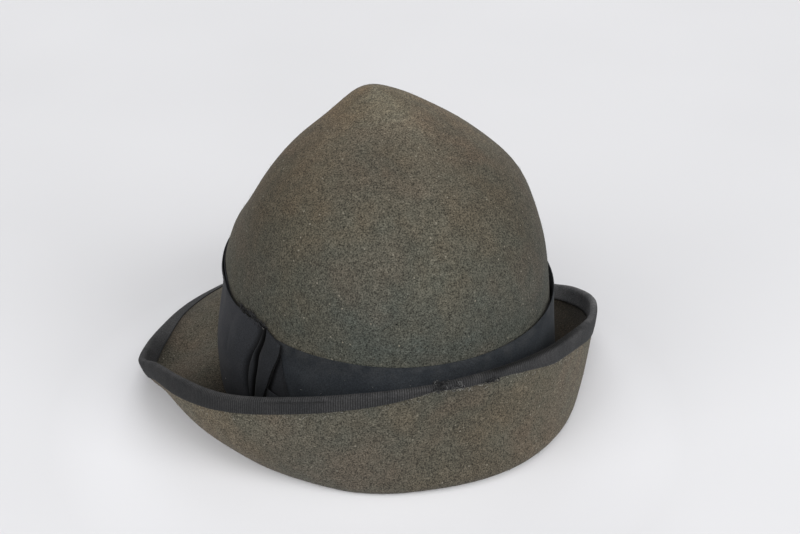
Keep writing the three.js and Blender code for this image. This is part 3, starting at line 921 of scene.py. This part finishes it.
def bow_loop(cap, material, random):
    """The loop's ribbon: from the crease by the knot forwards, round, and back along the hatband."""
    share = np.linspace(0, 1, LOOP_ROWS + 1)[None]
    even = np.linspace(0, 1, LOOP_STEPS)[:, None]
    start = curves(CREASES, between(*LOOP_EDGES[0][1:], share))[2]
    azimuth = start + (LOOP_FOLD - start) * even**LOOP_SPACING
    high, low = curves(LOOP_EDGES, azimuth)
    limit, size = LOOP_RAGGED
    ragged = random.normal(0, size, (LOOP_STEPS, 1)) * (azimuth < limit)
    z = between(high, low, share) + ragged * np.exp(-share * LOOP_ROWS)
    radius = float(cap.wall_at(LOOP_FOLD, LOOP_HEIGHTS[-1]))
    swell = smooth_surface(LOOP_LIFT, LOOP_HEIGHTS)(azimuth, z) + loop_folds(azimuth, z, radius)
    in_crease = bell(azimuth - start, LOOP_PINCH)
    lift = swell + (CREASE_LIFT - swell) * in_crease
    over_band = np.clip((BAND_END - z) / LOOP_PINCH, 0, 1)
    under = ON_FELT + RIBBON / 2 + (ON_BAND - ON_FELT) * over_band
    middle, half = (lift[-1] + under[-1]) / 2, (lift[-1] - under[-1]) / 2
    turn = np.linspace(math.pi / 2, -math.pi / 2, LOOP_TURN + 2)[1:-1, None]
    fold = LOOP_FOLD + np.degrees(half * np.cos(turn) / radius)
    azimuth = np.concatenate([azimuth, fold, azimuth[::-1]])
    lift = np.concatenate([lift, middle + half * np.sin(turn), under[::-1]])
    last, drop = LOOP_INNER
    behind = z - drop * (1 - share) * np.clip((last - azimuth[:LOOP_STEPS]) / LOOP_BLEND, 0, 1)
    z = np.concatenate([z, np.repeat(z[-1:], LOOP_TURN, axis=0), behind[::-1]])
    flat = np.stack([np.radians(azimuth) * radius, lift], axis=-1).transpose(1, 0, 2)
    out = normals(flat)

    def face(distance):
        moved = (flat + distance * out).transpose(1, 0, 2)
        return cap.on_crown(np.degrees(moved[..., 0] / radius), z, moved[..., 1])

    piece = bow_piece(cap, "bow_loop_ribbon", face(RIBBON / 2), face(-RIBBON / 2), material)
    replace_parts(piece, "bow_loop")


def bow_knot(cap, material):
    """The ribbon wrapped round the bow: a broad and a narrow pleat between three creases."""
    across, lift = fine_table(KNOT, KNOT_STEPS)
    share = np.linspace(0, 1, KNOT_ROWS + 1)[None]
    top = np.interp(across, range(len(KNOT_TOP)), KNOT_TOP)
    z = between(top, KNOT_FOOT, share)
    left, reach, power = KNOT_PRESSED
    free = left + (1 - left) * np.clip((top - z) / reach, 0, 1) ** power
    lift = CREASE_LIFT + (lift - CREASE_LIFT) * np.where(lift > CREASE_LIFT, free, 1)

    def face(place, lift):
        open_edge, crease, by_loop = curves(CREASES, z)
        azimuth = open_edge + (crease - open_edge) * place
        azimuth = np.where(place < 1, azimuth, crease + (by_loop - crease) * (place - 1))
        return cap.on_crown(azimuth, z, lift)

    inner = face(np.maximum(across, KNOT[0][0]), ON_BAND + 0 * z)
    piece = bow_piece(cap, "bow_knot_pleats", face(across, lift), inner, material)
    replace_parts(piece, "bow_knot")


def folded_end(cap, name, table, material):
    """A flat piece of ribbon from a table of azimuth, lift and heights of its edges, with painted shade
    along its upper edge.
    """
    azimuth, lift, high, low = fine_table(table, TAIL_STEPS)
    z = between(high, low, np.linspace(0, 1, TAIL_ROWS + 1)[None])
    faces = [cap.on_crown(azimuth + 0 * z, z, height + 0 * z) for height in (lift, lift - RIBBON)]
    dark, reach = FOLDED_SHADE
    by_edge = dark * bell(np.arange(2 * TAIL_ROWS + 4), reach)
    return bow_piece(cap, name, *faces, material, np.tile(by_edge, len(azimuth)))


def torn_threads_shadow_line(cap, material, random):
    """Loose threads along the loop's torn upper edge, so many and so dark that they also make a painted
    shadow line there.
    """
    pairs = []
    for start, end, lift, count in TORN_AND_SHADOW_LINE:
        share = random.uniform(0, 1, (count, 1))
        azimuths, heights = between(np.array(start), np.array(end), share).T
        pairs.append(cap.above(azimuths, heights, lift))
    start, up = joined(pairs)
    hairs("torn_threads_shadow_line", start, up, TORN_LENGTH, THREAD_RADIUS, LOOSE_CURL, material, "ribbon", random)


# ---- materials


class Shade:
    """A material's nodes. Each method adds one and returns its output."""

    def __init__(self, name, roughness, specular, sheen):
        self.material = bpy.data.materials.new(name)
        self.material.use_nodes = True
        self.tree = self.material.node_tree
        self.shader = self.tree.nodes["Principled BSDF"]
        values = {"Roughness": roughness, "Specular IOR Level": specular, "Sheen Weight": sheen}
        self.set(self.shader, values)
        self.place = self.node("TexCoord").outputs["Object"]

    def set(self, node, inputs):
        for key, value in inputs.items():
            if isinstance(value, bpy.types.NodeSocket):
                self.tree.links.new(value, node.inputs[key])
            else:
                node.inputs[key].default_value = value

    def node(self, kind, inputs=None, **settings):
        made = self.tree.nodes.new("ShaderNode" + kind)
        for key, value in settings.items():
            setattr(made, key, value)
        self.set(made, inputs or {})
        return made

    def noise(self, scale, detail=2.0, rough=0.5):
        inputs = {"Vector": self.place, "Scale": scale, "Detail": detail, "Roughness": rough}
        return self.node("TexNoise", inputs).outputs["Fac"]

    def painted(self, name):
        return self.node("Attribute", attribute_name=name).outputs["Fac"]

    def ramp(self, factor, stops):
        made = self.node("ValToRGB", {"Fac": factor})
        stones = made.color_ramp.elements
        for place, _ in stops[2:]:
            stones.new(place)
        for stone, (place, colour) in zip(stones, stops):
            stone.position = place
            stone.color = (*colour, 1)
        return made.outputs["Color"]

    def greys(self, factor, *stops):
        """A ramp through greys, from places and the brightness there."""
        return self.ramp(factor, [(place, (value,) * 3) for place, value in stops])

    def mix(self, factor, one, other, blend="MIX"):
        made = self.node("Mix", data_type="RGBA", blend_type=blend)
        self.set(made, {0: factor, 6: one, 7: other})
        return made.outputs[2]

    def times(self, one, other):
        return self.mix(1.0, one, other, "MULTIPLY")

    def scaled(self, value, low, high):
        """A value from `low` to `high` turned into one from 0 to 1."""
        made = self.node("MapRange", {"Value": value, "From Min": low, "From Max": high})
        return made.outputs["Result"]

    def bump(self, height, strength, distance):
        inputs = {"Height": height, "Strength": strength, "Distance": distance * MM}
        return self.node("Bump", inputs).outputs["Normal"]

    def finish(self, colour, normal):
        self.set(self.shader, {"Base Color": colour, "Normal": normal})
        return self.material


def felt_material():
    """Brown and grey-green fibres pressed together, browner in places; its paleness, most at the tip, is
    partly painted light and shade.
    """
    shade = Shade("felt", 0.95, 0.1, 0.05)
    patches = shade.ramp(shade.noise(26, 2), PATCHES)
    green = shade.greys(shade.noise(70, 3), (0.45, 0), (0.68, 0.5))
    colour = shade.mix(green, patches, GREEN)
    colour = shade.mix(shade.painted("warm"), colour, shade.times(colour, BROWN))
    height = shade.node("SeparateXYZ", {"Vector": shade.place}).outputs["Z"]
    colour = shade.times(colour, shade.ramp(shade.scaled(height, 0, HEIGHT_TINT_TOP), HEIGHT_TINT_AND_LIGHT))
    # the felt's painted tone, which holds painted light and shade
    colour = shade.times(colour, shade.painted("tone_and_painted_light"))
    for scale, detail, low, high in GRAIN:
        grain = shade.noise(scale, detail, 0.7)
        colour = shade.times(colour, shade.greys(grain, (0.3, low), (0.7, high)))
    cells = shade.node("TexVoronoi", {"Vector": shade.place, "Scale": 420})
    near = shade.greys(cells.outputs["Distance"], (0.1, 1), (0.24, 0))
    rare = shade.greys(cells.outputs["Color"], (0.8, 0), (0.84, 1))
    colour = shade.mix(shade.times(near, rare), colour, SPECK)
    inputs = {2: shade.noise(900, 3), 0: shade.noise(2400, 2), 1: 0.5}
    rough = shade.node("Math", inputs, operation="MULTIPLY_ADD").outputs[0]
    return shade.finish(colour, shade.bump(rough, 0.8, 0.4))


def fibre_material(name, dark, light):
    shade = Shade(name, 0.8, 0.2, 0.1)
    colour = shade.ramp(shade.noise(700, 1), [(0.4, dark), (0.65, light)])
    return shade.finish(colour, shade.bump(shade.noise(3000), 0.1, 0.05))


def ribbon_material(name, clean, dusty, rubbed_and_highlight):
    """Ribbed ribbon with painted shade in its grooves and the bow's creases, dusty in patches and rubbed
    along its edges.
    """
    shade = Shade(name, 0.82, 0.12, 0.03)
    dust = shade.greys(shade.noise(55, 4), (0.42, 0), (0.68, 1))
    colour = shade.mix(dust, (*clean, 1), (*dusty, 1))
    # rubbed edges, which along the binding's fold also stand as a painted highlight
    rubbing = shade.greys(shade.noise(160, 3), (0.4, 0), (0.65, 0.8))
    colour = shade.mix(shade.times(shade.painted("wear_and_highlight"), rubbing), colour, (*rubbed_and_highlight, 1))
    # painted shade in rib grooves and in the bow's creases
    colour = shade.times(colour, shade.greys(shade.painted("painted_shade"), (0.2, 1), (0.6, 0.5), (1.0, 0.05)))
    threads = shade.greys(shade.noise(1500, 2), (0.35, 0.75), (0.65, 1.3))
    colour = shade.times(colour, threads)
    # the painted tone of the hatband and binding, which holds painted light and shade
    if name in PAINTED_LIGHT_ON:
        colour = shade.times(colour, shade.painted("tone_and_painted_light"))
    return shade.finish(colour, shade.bump(shade.noise(2600, 2), 0.3, 0.08))


# ---- stage, light and camera


def stage():
    shade = Shade("floor", 0.9, 0.1, 0.0)
    # painted light: the floor is paler close round the cap, which lightens its shadow
    distance = shade.node("VectorMath", {0: shade.place, 1: FLOOR_LIGHT_MIDDLE}, operation="DISTANCE")
    colour = shade.ramp(shade.scaled(distance.outputs["Value"], *FLOOR_LIGHT_REACH), FLOOR_COLOURS_AND_LIGHT)
    colour = shade.times(colour, shade.greys(shade.noise(3, 2), (0.3, 0.98), (0.7, 1.02)))
    material = shade.finish(colour, shade.bump(shade.noise(12, 2), 0.05, 1.0))
    corners = [(-FLOOR, -FLOOR, 0), (FLOOR, -FLOOR, 0), (FLOOR, FLOOR, 0), (-FLOOR, FLOOR, 0)]
    mesh_object("floor", corners, [(0, 1, 2, 3)], material)


def direction(azimuth, elevation):
    azimuth, elevation = math.radians(azimuth), math.radians(elevation)
    level = math.cos(elevation)
    return Vector((math.sin(azimuth) * level, math.cos(azimuth) * level, math.sin(elevation)))


def aimed(name, data, place, towards):
    """A light or a camera at a place, turned in a direction."""
    made = add(name, data)
    made.location = place
    made.rotation_euler = towards.to_track_quat("-Z", "Y").to_euler()
    return made


def area_light(name, place, aim, power):
    data = bpy.data.lights.new(name, "AREA")
    data.energy = power
    data.size = LIGHT_SIZE
    aimed(name, data, place, Vector(aim) - Vector(place))


def lights():
    world = bpy.data.worlds.new("world")
    world.use_nodes = True
    background = world.node_tree.nodes["Background"]
    background.inputs["Color"].default_value = (1, 1, 1, 1)
    background.inputs["Strength"].default_value = AMBIENT
    bpy.context.scene.world = world
    bpy.context.scene.view_settings.view_transform = "Standard"
    for name, towards, power in LIGHTS:
        area_light(name, direction(*towards) * LIGHT_DISTANCE + Vector(LIGHT_AIM), LIGHT_AIM, power)
    area_light("backdrop", *BACKDROP)


def camera(cap):
    back = direction(*CAMERA_DIRECTION)
    right = Vector((-back.y, back.x, 0)).normalized()
    up = back.cross(right)
    aim = Vector(AIM) + Vector((cap.tip[0], cap.tip[1], 0))
    place = aim + right * CAMERA_SHIFT[0] + up * CAMERA_SHIFT[1] + back * CAMERA_DISTANCE
    data = bpy.data.cameras.new("camera")
    data.lens = LENS
    data.sensor_width = SENSOR
    bpy.context.scene.camera = aimed("camera", data, place * MM, -back)


def main():
    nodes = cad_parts
    cap = Cap(nodes["felt_body"])
    random = np.random.default_rng(SEED)
    camera(cap)
    band, ribbon, shaded_ribbon, binding = [ribbon_material(name, *parts) for name, parts in RIBBONS.items()]
    fluff, thread, frayed, fibre = [fibre_material(name, *parts) for name, parts in THREADS.items()]
    felt_body(cap, felt_material())
    felt_fibres(cap, fibre, random)
    lint(cap, fluff, random)
    hatband(cap, nodes["hatband"], band, random)
    brim_binding(cap, binding, random)
    frayed_binding(cap, "binding_black_threads", BLACK_FRAYS, thread, random)
    frayed_binding(cap, "binding_grey_threads", GREY_FRAYS, frayed, random)
    bow_loop(cap, ribbon, random)
    # the knot and the folded end use the darker copy of the ribbon, as painted shade
    bow_knot(cap, shaded_ribbon)
    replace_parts(folded_end(cap, "bow_tail_fold", TAIL, shaded_ribbon), "bow_tail")
    folded_end(cap, "bow_tail_tip", TAIL_TIP, ribbon)
    torn_threads_shadow_line(cap, thread, random)
    stage()
    lights()


main()
